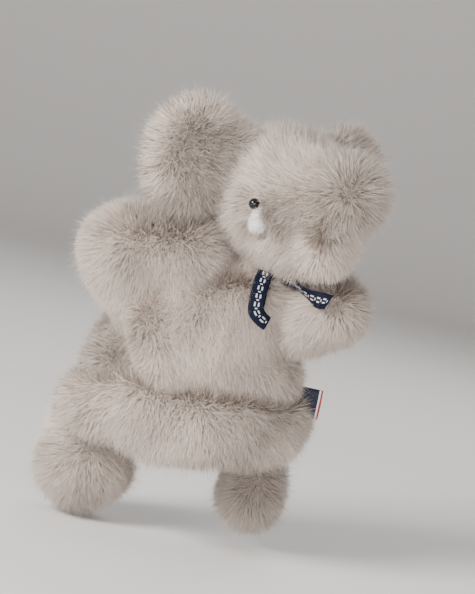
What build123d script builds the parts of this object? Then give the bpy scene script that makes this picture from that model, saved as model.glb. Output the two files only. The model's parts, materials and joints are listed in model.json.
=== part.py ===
from build123d import *
import math
import os

# Elephant hand puppet: a long-pile plush glove with a stuffed head, trunk, ears, arms and feet.
# Millimetres. +Z is up, the puppet faces -Y, and +X is the puppet's left.
# The origin is the middle of the hand opening, at the height where the body glove ends.

# ---- Driving dimensions ----

GAP = 0.15                       # space left between sewn layers
LINING_GAP = 0.5                 # space between the fur cloth and the loose lining
PILE = 9.0                       # fur cloth: knitted backing and the dense part of its pile
LINING = 1.0                     # woven lining

# Body glove, as (height, centre x, centre y, half width, half depth)
GLOVE = [
    (-20.0, 0.0, 0.0, 66.0, 41.0),
    (0.0, 0.0, 0.0, 69.0, 43.0),
    (35.0, 0.0, 0.0, 70.0, 44.0),
    (72.0, 1.0, -2.0, 58.0, 42.0),
    (92.0, 12.0, -3.0, 49.0, 35.0),
    (109.0, 28.0, -4.0, 30.0, 25.0),
]

# Turned-up cuff, as (height, how far it stands out from the glove's widest ring)
CUFF = [(-14.0, -5.0), (-7.0, 6.0), (5.0, 9.0), (22.0, 7.0), (30.0, 3.0)]
CUFF_RING = GLOVE[1]
MOUTH_TOP = 0.0                  # the hand opening ends here, where the glove's own hollow starts
HAND_HALF_WIDTH = 58.0           # the opening for the hand
HAND_HALF_DEPTH = 32.0

NECK = Vector(30.0, -5.0, 0.0)   # the neck's upright line
NECK_R = 18.0
NECK_BOTTOM = 95.0
NECK_TOP = 119.0
SLEEVE_R = 10.0                  # finger sleeve, outside
SLEEVE_BOTTOM = 99.0
SLEEVE_TOP = 133.0

HEAD_R = 45.0
HEAD = Vector(NECK.X, NECK.Y, 166.0)
HEAD_TURN = 36.0                 # degrees the head is turned to the puppet's left
GUSSET_HALF = 16.0               # strip over the crown, between the two side panels
POCKET_R = 15.0                  # finger pocket in the head, outside
POCKET_BOTTOM = 126.0
POCKET_TOP = 178.0
POCKET_BORE_BOTTOM = 90.0        # the bore for the pocket is cut from below the head
CHIN_R = 14.0
CHIN_FORWARD = 41.0
CHIN_DROP = 27.0

TRUNK_ROOT_R = 26.0
TRUNK_TIP_R = 23.0
TRUNK_ROOT_FORWARD = 43.0
TRUNK_ROOT_RISE = 6.0
TRUNK_TIP_FORWARD = 69.0
TRUNK_TIP_RISE = 12.0
TRUNK_ROOM = (0.6, 6.0)          # room that the lifting trunk needs, at its root and its tip

EAR_ANGLE = 105.0                # from straight ahead, round the head
EAR_REACH = 63.0                 # ear's centre from the head's upright line
EAR_RISE = 18.0
EAR_R = 33.0
EAR_HALF_THICK = 12.0
EAR_SEAM = 46.5                  # the ear's seam from the head's upright line
EAR_FLAP = 25.0
EAR_SKIN = 5.4                   # the pile is clipped shorter on the ears
EAR_FILLING_START = 12.0         # the filling's nearest point to the seam

EYE_ANGLE = 57.0
EYE_DROP = 6.5
EYE_R = 3.5
EYE_SEAT = 42.0                  # the bead's centre from the head's centre
SHANK_R = 1.2
SHANK_LENGTH = 16.0
SHANK_END_ROOM = 1.0
EYE_WELL = 9.0                   # the pile is parted this far out in front of the bead
WASHER_R = 5.0
WASHER_THICK = 1.2
WASHER_FIT = 0.05                # space between the washer and the shank
WASHER_LIFT = 0.2                # space between the washer and the skin
WASHER_REACH = 2.0               # the washer's seat is cut this far on each side
TUSK_ANGLE = 50.0
TUSK_DROP = 17.5
TUSK_R = 4.3
TUSK_HALF_LENGTH = 6.5
TUSK_SEAT = 43.5

# Arms, as shoulder centre and radius, paw centre and radius
ARM_RIGHT = (Vector(-22.0, -3.0, 108.0), 25.0, Vector(-55.0, -6.0, 111.0), 29.0)
ARM_LEFT = (Vector(57.0, -12.0, 88.0), 17.0, Vector(76.0, -30.0, 100.0), 23.0)
ARM_POCKET_R = 9.5
ARM_POCKET_SHORT = 4.0           # the pocket ends this far before the paw's centre
ARM_POCKET_START = 3.0           # and starts this far inside the shoulder
ARM_ROOM = (2.0, 11.0)           # room that the swinging arm needs, at its shoulder and its paw

# Feet, as centre and radius
FOOT_RIGHT = (Vector(-59.5, 12.0, -32.0), 27.0)
FOOT_LEFT = (Vector(52.0, 20.0, -29.0), 22.5)
FOOT_SEAM_Z = -15.0
FOOT_LEAN = 21.0                 # degrees cleared for the swing each way

RIBBON_WIDTH = 10.2
RIBBON_THICK = 0.6
RIBBON_BOTTOM = 109.3
KNOT = Vector(36.0, -28.0, 117.0)
KNOT_SIZE = (11.0, 6.0, 9.0)
HANGING_ROOT = KNOT + Vector(-5.0, -4.0, 0.0)
HANGING_LENGTH = 36.0
HANGING_LEAN = 15.0              # degrees the hanging tail leans out from the chest
SIDE_ROOT = KNOT + Vector(6.5, -3.0, 0.0)
SIDE_LENGTH = 44.0
SIDE_ANGLE = 43.0                # degrees the side tail points forward of straight sideways
SIDE_DROP = 12.0

LABEL_Z = 40.0
LABEL_HEIGHT = 19.0
LABEL_REACH = 83.0
LABEL_ROOT = 63.0
LABEL_THICK = 1.0

BIG = 400.0


# ---- Shapes ----

def polar(angle):
    """A level direction, so many degrees round from straight ahead towards the puppet's left."""
    return Vector(math.sin(math.radians(angle)), -math.cos(math.radians(angle)), 0.0)


def ball(centre, radius):
    return Pos(*centre) * Sphere(radius)


def rod(start, end, radius):
    """A cylinder between two points."""
    along = end - start
    place = Plane(origin=start, z_dir=along)
    return place * Cylinder(radius, along.length, align=(Align.CENTER, Align.CENTER, Align.MIN))


def beyond(point, normal):
    """Everything on the side of a plane that its normal points to."""
    block = Box(BIG, BIG, BIG, align=(Align.CENTER, Align.CENTER, Align.MIN))
    return Plane(origin=point, z_dir=normal) * block


def lobe(root, root_r, tip, tip_r):
    """Two balls joined by the cone that touches both."""
    length = (tip - root).length
    slope = (root_r - tip_r) / length
    across = math.sqrt(1.0 - slope * slope)
    half = math.sqrt(0.5)
    rear = Vector(root_r * across, 0, root_r * slope)
    front = Vector(tip_r * across, 0, length + tip_r * slope)
    edges = [
        ThreePointArc((0, 0, -root_r), (root_r * half, 0, -root_r * half), rear),
        Line(rear, front),
        ThreePointArc(front, (tip_r * half, 0, length + tip_r * half), (0, 0, length + tip_r)),
        Line((0, 0, length + tip_r), (0, 0, -root_r)),
    ]
    solid = revolve(make_face(edges), Axis.Z, 360)
    return Plane(origin=root, z_dir=tip - root) * solid


def biscuit(centre, radius, half_thick, axis):
    """A round flat cushion with a half-round edge."""
    flat = radius - half_thick
    edges = [
        Line((0, 0, -half_thick), (flat, 0, -half_thick)),
        ThreePointArc((flat, 0, -half_thick), (radius, 0, 0), (flat, 0, half_thick)),
        Line((flat, 0, half_thick), (0, 0, half_thick)),
        Line((0, 0, half_thick), (0, 0, -half_thick)),
    ]
    return Plane(origin=centre, z_dir=axis) * revolve(make_face(edges), Axis.Z, 360)


def glove_body(inset):
    """The glove's closed outline, drawn in by a distance all round and at the shoulders."""
    faces = []
    for z, x, y, wide, deep in GLOVE[:-1]:
        faces.append(Pos(x, y, z) * Ellipse(wide - inset, deep - inset))
    z, x, y, wide, deep = GLOVE[-1]
    faces.append(Pos(x, y, z - inset) * Ellipse(wide - inset, deep - inset))
    return loft(faces)


def level_ring(outer, inner, bottom, top):
    """A round collar about the neck's line."""
    height = top - bottom
    align = (Align.CENTER, Align.CENTER, Align.MIN)
    place = Pos(NECK.X, NECK.Y, bottom)
    return place * (Cylinder(outer, height, align=align) - Cylinder(inner, height, align=align))


def save(name, solid):
    export_step(solid, os.path.join("parts", name + ".step"))


def save_front_back(name, solid, point, normal):
    """Writes the two panels on either side of a seam plane, whose normal points to the back."""
    save(name + "_front", solid & beyond(point - normal * (GAP / 2), normal * -1))
    save(name + "_back", solid & beyond(point + normal * (GAP / 2), normal))


# ---- Body glove ----

def arm_room(arm):
    """The space that an arm takes as it swings and lifts."""
    shoulder, shoulder_r, paw, paw_r = arm
    return lobe(shoulder, shoulder_r + ARM_ROOM[0], paw, paw_r + ARM_ROOM[1])


def make_glove():
    neck_hole = rod(NECK, NECK + Vector(0, 0, BIG), SLEEVE_R + GAP)
    neck = rod(NECK + Vector(0, 0, NECK_BOTTOM), NECK + Vector(0, 0, NECK_TOP), NECK_R)
    label_slot = Pos(0, 0, LABEL_Z) * Box(
        LABEL_REACH,
        LABEL_THICK + 2 * GAP,
        LABEL_HEIGHT + 2 * GAP,
        align=(Align.MIN, Align.CENTER, Align.CENTER),
    )
    right_arm = arm_room(ARM_RIGHT)
    left_arm = arm_room(ARM_LEFT)
    above_edge = beyond(Vector(0, 0, 0), Vector(0, 0, 1))
    outer = glove_body(0.0) + neck
    hollow = glove_body(PILE)
    shell = (outer - hollow) & above_edge
    shell = shell - neck_hole - right_arm - left_arm - label_slot
    save_front_back("body", shell, Vector(0, 0, 0), Vector(0, 1, 0))

    outside = PILE + LINING_GAP
    lining = (glove_body(outside) - glove_body(outside + LINING)) & above_edge
    lining = lining - neck_hole - right_arm - left_arm
    save_front_back("body_lining", lining, Vector(0, 0, 0), Vector(0, 1, 0))


def make_cuff():
    """The edge of the glove, turned up outside as a thick roll of fur."""
    wide, deep = CUFF_RING[3:]
    solid = loft([Pos(0, 0, z) * Ellipse(wide + out, deep + out) for z, out in CUFF])
    mouth = loft([
        Pos(0, 0, CUFF[0][0] - GAP) * Ellipse(HAND_HALF_WIDTH, HAND_HALF_DEPTH),
        Pos(0, 0, MOUTH_TOP) * Ellipse(HAND_HALF_WIDTH, HAND_HALF_DEPTH),
    ])
    inside = glove_body(-GAP) & beyond(Vector(0, 0, MOUTH_TOP - GAP), Vector(0, 0, 1))
    save_front_back("cuff", solid - mouth - inside, Vector(0, 0, 0), Vector(0, 1, 0))


def make_label():
    """A folded woven tag, caught in the left side seam."""
    tag = Pos(LABEL_ROOT, 0, LABEL_Z) * Box(
        LABEL_REACH - LABEL_ROOT,
        LABEL_THICK,
        LABEL_HEIGHT,
        align=(Align.MIN, Align.CENTER, Align.CENTER),
    )
    save("side_label", tag)


# ---- Neck and ribbon ----

def make_neck():
    save("finger_sleeve", level_ring(SLEEVE_R, SLEEVE_R - LINING, SLEEVE_BOTTOM, SLEEVE_TOP))


def make_ribbon():
    loop_r = NECK_R + GAP
    loop = level_ring(loop_r + RIBBON_THICK, loop_r, RIBBON_BOTTOM, RIBBON_BOTTOM + RIBBON_WIDTH)
    save("ribbon_loop", loop)
    save("ribbon_knot", Pos(*KNOT) * Box(*KNOT_SIZE))

    hang = Box(RIBBON_WIDTH, RIBBON_THICK, HANGING_LENGTH, align=(Align.CENTER, Align.CENTER, Align.MAX))
    save("ribbon_tail_hanging", Pos(*HANGING_ROOT) * Rot(-HANGING_LEAN, 0, 0) * hang)

    across = Box(SIDE_LENGTH, RIBBON_THICK, RIBBON_WIDTH, align=(Align.MIN, Align.CENTER, Align.CENTER))
    save("ribbon_tail_side", Pos(*SIDE_ROOT) * Rot(0, SIDE_DROP, -SIDE_ANGLE) * across)


# ---- Head ----

def on_head(angle, drop, reach):
    """A point so far from the head's centre, at an angle from straight ahead and a depth below."""
    level = math.sqrt(reach * reach - drop * drop)
    return HEAD + polar(HEAD_TURN + angle) * level + Vector(0, 0, -drop)


def trunk_points():
    ahead = polar(HEAD_TURN)
    root = HEAD + ahead * TRUNK_ROOT_FORWARD + Vector(0, 0, TRUNK_ROOT_RISE)
    tip = HEAD + ahead * TRUNK_TIP_FORWARD + Vector(0, 0, TRUNK_TIP_RISE)
    return root, tip


def trunk_room():
    """The space that the trunk takes as it lifts."""
    root, tip = trunk_points()
    return lobe(root, TRUNK_ROOT_R + TRUNK_ROOM[0], tip, TRUNK_TIP_R + TRUNK_ROOM[1])


def make_head():
    ahead = polar(HEAD_TURN)
    left = polar(HEAD_TURN + 90.0)
    chin = HEAD + ahead * CHIN_FORWARD + Vector(0, 0, -CHIN_DROP)
    socket = trunk_room()
    below = NECK + Vector(0, 0, POCKET_BORE_BOTTOM)
    bore = rod(below, NECK + Vector(0, 0, POCKET_TOP), POCKET_R + GAP)

    skin = ball(HEAD, HEAD_R) + lobe(HEAD, CHIN_R, chin, CHIN_R)
    skin = skin - ball(HEAD, HEAD_R - PILE) - socket - bore
    filling = ball(HEAD, HEAD_R - PILE - GAP) - socket - bore

    for angle, name in ((EYE_ANGLE, "left"), (-EYE_ANGLE, "right")):
        seat = on_head(angle, EYE_DROP, EYE_SEAT)
        inward = (HEAD - seat).normalized()
        washer = seat + inward * (EYE_SEAT - HEAD_R + PILE + GAP + WASHER_LIFT)
        washer_end = washer + inward * WASHER_THICK
        eye = ball(seat, EYE_R) + rod(seat, seat + inward * SHANK_LENGTH, SHANK_R)
        ring = rod(washer, washer_end, WASHER_R)
        ring = ring - rod(washer - inward, washer_end + inward, SHANK_R + WASHER_FIT)
        room = ball(seat, EYE_R + GAP)
        room = room + rod(seat - inward * EYE_WELL, seat, EYE_R + GAP)
        room = room + rod(seat, seat + inward * (SHANK_LENGTH + SHANK_END_ROOM), SHANK_R + GAP)
        washer_room = rod(washer - inward * WASHER_REACH, washer_end + inward * GAP, WASHER_R + GAP)
        skin = skin - room
        filling = filling - room - washer_room
        save("eye_" + name, eye)
        save("eye_washer_" + name, ring)

    for angle, name in ((TUSK_ANGLE, "left"), (-TUSK_ANGLE, "right")):
        seat = on_head(angle, TUSK_DROP, TUSK_SEAT)
        low = seat + Vector(0, 0, TUSK_R - TUSK_HALF_LENGTH)
        high = seat + Vector(0, 0, TUSK_HALF_LENGTH - TUSK_R)
        skin = skin - lobe(low, TUSK_R + GAP, high, TUSK_R + GAP)
        save("tusk_" + name, lobe(low, TUSK_R, high, TUSK_R))

    seam = GUSSET_HALF + GAP / 2
    right_seam = HEAD - left * seam
    left_seam = HEAD + left * seam
    strip = skin & beyond(HEAD - left * (seam - GAP), left)
    strip = strip & beyond(HEAD + left * (seam - GAP), left * -1)
    down = Vector(0, 0, -1)
    save("head_gusset", strip - (beyond(NECK, ahead) & beyond(HEAD, down)))
    save("chin_gusset", strip & beyond(NECK + ahead * GAP, ahead) & beyond(HEAD, down))
    save("head_side_right", skin & beyond(right_seam, left * -1))
    save("head_side_left", skin & beyond(left_seam, left))
    save("head_filling", filling)

    end = NECK + Vector(0, 0, POCKET_TOP - GAP)
    tube = rod(NECK + Vector(0, 0, POCKET_BOTTOM), end, POCKET_R)
    save("head_pocket", tube - rod(below, end - Vector(0, 0, LINING), POCKET_R - LINING))


def make_trunk():
    root, tip = trunk_points()
    outer = lobe(root, TRUNK_ROOT_R, tip, TRUNK_TIP_R)
    inner = lobe(root, TRUNK_ROOT_R - PILE, tip, TRUNK_TIP_R - PILE)
    core = lobe(root, TRUNK_ROOT_R - PILE - GAP, tip, TRUNK_TIP_R - PILE - GAP)
    side = Vector(0, 0, 1).cross(polar(HEAD_TURN))
    up = (tip - root).cross(side).normalized()
    skin = outer - inner
    save("trunk_upper", skin & beyond(root + up * (GAP / 2), up))
    save("trunk_lower", skin & beyond(root - up * (GAP / 2), up * -1))
    save("trunk_filling", core)


def make_ear(name, sign):
    """A round flat cushion, thinned to its seam so that it can flap."""
    angle = HEAD_TURN + sign * EAR_ANGLE
    out = polar(angle)
    facing = polar(angle - sign * 90.0)
    centre = HEAD + out * EAR_REACH + Vector(0, 0, EAR_RISE)
    seam = HEAD + out * EAR_SEAM
    wedge = beyond(seam, out)
    for flap in (EAR_FLAP, -EAR_FLAP):
        wedge = wedge & beyond(seam, out.rotate(Axis.Z, flap))
    inner_end = beyond(seam + out * EAR_FILLING_START, out)
    inner = biscuit(centre, EAR_R - EAR_SKIN, EAR_HALF_THICK - EAR_SKIN, facing) & inner_end
    core = biscuit(centre, EAR_R - EAR_SKIN - GAP, EAR_HALF_THICK - EAR_SKIN - GAP, facing)
    core = core & beyond(seam + out * (EAR_FILLING_START + GAP), out)
    skin = (biscuit(centre, EAR_R, EAR_HALF_THICK, facing) & wedge) - inner
    save_front_back(name, skin, centre, facing * -1)
    save(name + "_filling", core)


# ---- Arms and feet ----

def make_arm(name, arm):
    shoulder, shoulder_r, paw, paw_r = arm
    along = (paw - shoulder).normalized()
    back = Vector(0, 0, 1).cross(along)
    if back.Y < 0:
        back = back * -1
    mouth = shoulder - along * (shoulder_r + GAP)
    depth = paw - along * ARM_POCKET_SHORT
    bore = rod(mouth, depth, ARM_POCKET_R + GAP)
    skin = lobe(shoulder, shoulder_r, paw, paw_r)
    skin = skin - lobe(shoulder, shoulder_r - PILE, paw, paw_r - PILE) - bore
    core = lobe(shoulder, shoulder_r - PILE - GAP, paw, paw_r - PILE - GAP) - bore
    save_front_back(name, skin, shoulder, back.normalized())
    save(name + "_filling", core)

    start = shoulder - along * (shoulder_r - ARM_POCKET_START)
    pocket = rod(start, depth - along * GAP, ARM_POCKET_R)
    pocket = pocket - rod(mouth, depth - along * (GAP + LINING), ARM_POCKET_R - LINING)
    save(name + "_pocket", pocket)


def make_foot(name, foot):
    """A stuffed foot, thinned at the top to the seam that it swings from."""
    centre, radius = foot
    down = Vector(0, 0, -1)
    seam = Vector(centre.X, centre.Y, FOOT_SEAM_Z)
    below = beyond(seam, down)
    for lean in (FOOT_LEAN, -FOOT_LEAN):
        below = below & beyond(seam, down.rotate(Axis.X, lean))
    inner = ball(centre, radius - PILE) & beyond(seam + down * PILE, down)
    core = ball(centre, radius - PILE - GAP) & beyond(seam + down * (PILE + GAP), down)
    save_front_back(name, (ball(centre, radius) & below) - inner, centre, Vector(0, 1, 0))
    save(name + "_filling", core)


os.makedirs("parts", exist_ok=True)
make_glove()
make_cuff()
make_label()
make_neck()
make_ribbon()
make_head()
make_trunk()
make_ear("ear_right", -1)
make_ear("ear_left", 1)
make_arm("arm_right", ARM_RIGHT)
make_arm("arm_left", ARM_LEFT)
make_foot("foot_right", FOOT_RIGHT)
make_foot("foot_left", FOOT_LEFT)
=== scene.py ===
import json
import math
import bpy
import numpy as np
from mathutils import Matrix, Vector, kdtree


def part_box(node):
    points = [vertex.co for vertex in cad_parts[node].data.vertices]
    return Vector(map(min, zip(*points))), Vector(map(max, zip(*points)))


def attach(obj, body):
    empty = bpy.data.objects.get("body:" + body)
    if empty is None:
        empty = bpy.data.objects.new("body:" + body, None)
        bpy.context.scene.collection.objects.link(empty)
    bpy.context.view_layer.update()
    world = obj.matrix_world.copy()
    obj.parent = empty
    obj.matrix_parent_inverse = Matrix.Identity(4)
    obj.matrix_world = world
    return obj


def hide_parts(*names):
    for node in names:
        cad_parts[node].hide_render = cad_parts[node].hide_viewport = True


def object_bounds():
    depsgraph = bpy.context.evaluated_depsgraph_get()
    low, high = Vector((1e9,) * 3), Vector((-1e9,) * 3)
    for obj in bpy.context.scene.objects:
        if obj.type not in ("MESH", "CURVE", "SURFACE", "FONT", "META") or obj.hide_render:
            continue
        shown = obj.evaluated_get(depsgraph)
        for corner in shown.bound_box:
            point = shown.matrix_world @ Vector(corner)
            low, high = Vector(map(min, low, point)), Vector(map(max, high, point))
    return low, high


# An elephant hand puppet in long-pile plush. Metres, in the CAD frame: +Z up, facing -Y.

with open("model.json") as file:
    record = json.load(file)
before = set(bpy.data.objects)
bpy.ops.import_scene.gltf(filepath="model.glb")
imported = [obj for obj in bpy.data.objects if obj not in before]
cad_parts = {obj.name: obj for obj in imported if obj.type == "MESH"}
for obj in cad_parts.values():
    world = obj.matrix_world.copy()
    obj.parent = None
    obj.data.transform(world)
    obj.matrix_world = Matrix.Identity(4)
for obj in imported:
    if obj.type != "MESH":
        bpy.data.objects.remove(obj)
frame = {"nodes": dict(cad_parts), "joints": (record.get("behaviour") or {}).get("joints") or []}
cad_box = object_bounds()

# ---- Sizes ----

MM = 0.001
SKIN_DEPTH = 7.5 * MM            # the knitted backing lies this far under the pile's outer surface
PILE_LENGTH = 12.5 * MM
STRAND_WIDTH = 0.26 * MM
STRANDS_PER_MM2 = 4.0
STRAND_LEVELS = (0.0, 0.5, 1.0)
LOCK_STRANDS = 5                 # strands that lean together into one lock
GUARD_SHARE = 0.10               # long single hairs that stand out of the pile
GUARD_LENGTH = 1.42              # their length beside the rest of the pile
VOXEL = 2.6 * MM

HEAD_R = 45.0 * MM
TRUNK_ROOT_R = 31.0 * MM
TRUNK_BEND_R = 26.0 * MM
TRUNK_END_R = 21.0 * MM
CHIN_R = 19.0 * MM
EAR_HALF_THICK = 15.5 * MM
EAR_HALF_WIDTH = 33.0 * MM
EAR_HALF_HEIGHT = 39.0 * MM
EAR_OUT = 61.0 * MM              # the ear's centre from the head's, outwards and upwards
EAR_RAISED = 15.0 * MM
RIBBON_WIDTH = 10.2 * MM
RIBBON_THICK = 0.35 * MM

UP = Vector((0, 0, 1))


# ---- Places, read from the frame ----

JOINTS = {joint["name"]: joint for joint in frame["joints"]}
SIDES = ("right", "left")


def joint_point(name):
    return Vector(JOINTS[name]["pos_m"])


NECK = joint_point("head_turn")
SIDEWAYS = Vector(JOINTS["head_nod"]["axis"]).normalized()      # towards the head's own left
AHEAD = Vector((SIDEWAYS.y, -SIDEWAYS.x, 0))
HEAD = Vector((NECK.x, NECK.y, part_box("head_gusset")[1][2] - HEAD_R))
TRUNK_ROOT = joint_point("trunk_lift")
TRUNK_BEND = HEAD + AHEAD * (68.0 * MM) + UP * (11.0 * MM)
TRUNK_END = HEAD + AHEAD * (56.0 * MM) - UP * (24.0 * MM)
CHIN = HEAD + AHEAD * (40.0 * MM) - UP * (28.5 * MM)
SHOULDERS = {
    "right": joint_point("arm_right_swing") + Vector((0, -6.0, 5.0)) * MM,
    "left": joint_point("arm_left_swing"),
}
PAWS = {"right": Vector((-0.0535, -0.010, 0.1105)), "left": Vector((0.0770, -0.030, 0.1055))}
# The right arm is sewn to the chest without a waist. Two rows of lobes run from it down the chest:
# each row is its points, with the lobe's radius at each in mm
CHEST_BRIDGES = {
    "right": (
        (
            (SHOULDERS["right"], 24.5),
            (Vector((-0.020, -0.008, 0.090)), 23.0),
            (Vector((-0.014, -0.002, 0.070)), 19.0),
        ),
        (
            (PAWS["right"], 26.0),
            (Vector((-0.036, -0.008, 0.088)), 21.0),
            (Vector((-0.027, -0.001, 0.071)), 17.0),
        ),
    ),
    "left": (),
}
ARM_RADII = {"right": (32.0 * MM, 34.0 * MM), "left": (20.0 * MM, 24.5 * MM)}
FOOT_DROP = 13.0 * MM            # a foot's centre below the seam it swings from
FEET = {side: joint_point("foot_" + side + "_swing") - UP * FOOT_DROP for side in SIDES}
FOOT_RADII = {"right": 32.0 * MM, "left": 24.0 * MM}


def ear_frame(side):
    """The ear's centre, its outward direction, and the way its inner face looks."""
    seam = joint_point("ear_" + side + "_flap")
    out = (seam - HEAD).normalized()
    facing = Vector((out.y, -out.x, 0)) if side == "left" else Vector((-out.y, out.x, 0))
    return HEAD + out * EAR_OUT + UP * EAR_RAISED, out, facing


# ---- Materials ----

FIBRE_GLOW = 0.35                # share of the light that passes through a strand


def new_material(name, roughness=0.8, sheen=0.0):
    material = bpy.data.materials.new(name)
    material.use_nodes = True
    shader = material.node_tree.nodes["Principled BSDF"]
    shader.inputs["Roughness"].default_value = roughness
    shader.inputs["Sheen Weight"].default_value = sheen
    shader.inputs["Specular IOR Level"].default_value = 0.25
    return material, material.node_tree, shader


def ramp_node(tree, stops):
    ramp = tree.nodes.new("ShaderNodeValToRGB")
    while len(ramp.color_ramp.elements) < len(stops):
        ramp.color_ramp.elements.new(0.5)
    for element, (place, colour) in zip(ramp.color_ramp.elements, stops):
        element.position = place
        element.color = (*colour, 1.0)
    return ramp


def uv_axes(tree):
    """The two coordinates of the palette or tape UV: across and along."""
    uv = tree.nodes.new("ShaderNodeUVMap")
    uv.uv_map = "OFBake"
    split = tree.nodes.new("ShaderNodeSeparateXYZ")
    tree.links.new(uv.outputs["UV"], split.inputs["Vector"])
    return split.outputs["X"], split.outputs["Y"]


def shaded(tree, colour, amount, low, high):
    """The colour made darker or lighter: times low where the amount is 0, and times high where it is 1."""
    span = tree.nodes.new("ShaderNodeMapRange")
    span.inputs["To Min"].default_value = low
    span.inputs["To Max"].default_value = high
    tree.links.new(amount, span.inputs["Value"])
    scale = tree.nodes.new("ShaderNodeVectorMath")
    scale.operation = "SCALE"
    tree.links.new(colour, scale.inputs[0])
    tree.links.new(span.outputs["Result"], scale.inputs["Scale"])
    return scale.outputs["Vector"]


def add_relief(tree, shader, height, strength, distance):
    relief = tree.nodes.new("ShaderNodeBump")
    relief.inputs["Strength"].default_value = strength
    relief.inputs["Distance"].default_value = distance
    tree.links.new(height, relief.inputs["Height"])
    tree.links.new(relief.outputs["Normal"], shader.inputs["Normal"])


def object_place(tree, texture):
    """Lays a texture out on the object's own coordinates."""
    place = tree.nodes.new("ShaderNodeTexCoord")
    tree.links.new(place.outputs["Object"], texture.inputs["Vector"])


def fur_material(name, root, middle, tip, spread):
    """Pile coloured from root to tip, darker at the root as painted shade between the strands, in strands
    of slightly different tones.
    Each strand's UV holds its tone across and its length upwards."""
    material, tree, shader = new_material(name, 0.7, 0.15)
    links = tree.links
    tone, height = uv_axes(tree)
    ramp = ramp_node(tree, [(0.0, root), (0.45, middle), (0.9, tip)])
    links.new(height, ramp.inputs["Fac"])
    colour = shaded(tree, ramp.outputs["Color"], tone, 1.0 - spread, 1.0 + spread)
    links.new(colour, shader.inputs["Base Color"])
    through = tree.nodes.new("ShaderNodeBsdfTranslucent")
    links.new(colour, through.inputs["Color"])
    both = tree.nodes.new("ShaderNodeMixShader")
    both.inputs["Fac"].default_value = FIBRE_GLOW
    links.new(shader.outputs["BSDF"], both.inputs[1])
    links.new(through.outputs["BSDF"], both.inputs[2])
    links.new(both.outputs["Shader"], tree.nodes["Material Output"].inputs["Surface"])
    return material


def backing_material(name, dark, light):
    """Knitted backing seen between the roots of the pile."""
    material, tree, shader = new_material(name, 0.9, 0.3)
    loops = tree.nodes.new("ShaderNodeTexNoise")
    loops.inputs["Scale"].default_value = 700.0
    loops.inputs["Detail"].default_value = 3.0
    object_place(tree, loops)
    ramp = ramp_node(tree, [(0.35, dark), (0.7, light)])
    tree.links.new(loops.outputs["Fac"], ramp.inputs["Fac"])
    tree.links.new(ramp.outputs["Color"], shader.inputs["Base Color"])
    add_relief(tree, shader, loops.outputs["Fac"], 0.4, 0.0004)
    return material


def weave_material(name, dark, light, threads, roughness, sheen):
    """Fine plain weave: two crossed sets of threads."""
    material, tree, shader = new_material(name, roughness, sheen)
    links = tree.links
    waves = []
    for direction in ("X", "Z"):
        wave = tree.nodes.new("ShaderNodeTexWave")
        wave.bands_direction = direction
        wave.inputs["Scale"].default_value = threads
        wave.inputs["Distortion"].default_value = 0.6
        object_place(tree, wave)
        waves.append(wave)
    both = tree.nodes.new("ShaderNodeMath")
    both.operation = "MULTIPLY"
    links.new(waves[0].outputs["Fac"], both.inputs[0])
    links.new(waves[1].outputs["Fac"], both.inputs[1])
    ramp = ramp_node(tree, [(0.0, dark), (0.6, light)])
    links.new(both.outputs["Value"], ramp.inputs["Fac"])
    links.new(ramp.outputs["Color"], shader.inputs["Base Color"])
    add_relief(tree, shader, both.outputs["Value"], 0.35, 0.0002)
    return material


def bead_material():
    """Polished black plastic with faint handling haze in its gloss."""
    material, tree, shader = new_material("bead", 0.10)
    haze = tree.nodes.new("ShaderNodeTexNoise")
    haze.inputs["Scale"].default_value = 900.0
    object_place(tree, haze)
    colour = ramp_node(tree, [(0.3, (0.0015, 0.0015, 0.0015)), (0.8, (0.004, 0.0035, 0.0035))])
    tree.links.new(haze.outputs["Fac"], colour.inputs["Fac"])
    tree.links.new(colour.outputs["Color"], shader.inputs["Base Color"])
    shader.inputs["Coat Weight"].default_value = 0.5
    shader.inputs["Coat Roughness"].default_value = 0.03
    return material


def ribbon_material(name, ground, mark, mark_length, mark_width):
    """Woven tape with a printed row of plain dashes and dots, laid out on the UV in metres."""
    material, tree, shader = new_material(name, 0.65)
    shader.inputs["Specular IOR Level"].default_value = 0.1
    links = tree.links
    across, along = uv_axes(tree)

    def maths(operation, a, b=None, clamp=False):
        node = tree.nodes.new("ShaderNodeMath")
        node.operation = operation
        node.use_clamp = clamp
        for place, value in enumerate((a, b)):
            if value is None:
                continue
            if isinstance(value, (int, float)):
                node.inputs[place].default_value = value
            else:
                links.new(value, node.inputs[place])
        return node.outputs["Value"]

    part = maths("FRACT", maths("MULTIPLY", along, 1.0 / mark_length))
    dash = maths("LESS_THAN", maths("ABSOLUTE", maths("SUBTRACT", part, 0.36)), 0.24)
    dot = maths("LESS_THAN", maths("ABSOLUTE", maths("SUBTRACT", part, 0.84)), 0.07)
    off_middle = maths("ABSOLUTE", maths("SUBTRACT", across, 0.5))
    wide = maths("LESS_THAN", off_middle, mark_width)
    narrow = maths("LESS_THAN", off_middle, mark_width * 0.5)
    ring = maths("GREATER_THAN", off_middle, mark_width * 0.42)
    dashes = maths("MULTIPLY", maths("MULTIPLY", dash, wide), ring)
    marks = maths("ADD", dashes, maths("MULTIPLY", dot, narrow), True)
    mix = tree.nodes.new("ShaderNodeMix")
    mix.data_type = "RGBA"
    mix.inputs["A"].default_value = (*ground, 1.0)
    mix.inputs["B"].default_value = (*mark, 1.0)
    links.new(marks, mix.inputs["Factor"])
    threads = tree.nodes.new("ShaderNodeTexWave")
    threads.inputs["Scale"].default_value = 900.0
    threads.bands_direction = "Z"
    object_place(tree, threads)
    colour = shaded(tree, mix.outputs["Result"], threads.outputs["Fac"], 0.75, 1.15)
    links.new(colour, shader.inputs["Base Color"])
    return material


# The root colour is painted shade: the darkness that falls between the strands near the skin.
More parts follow.
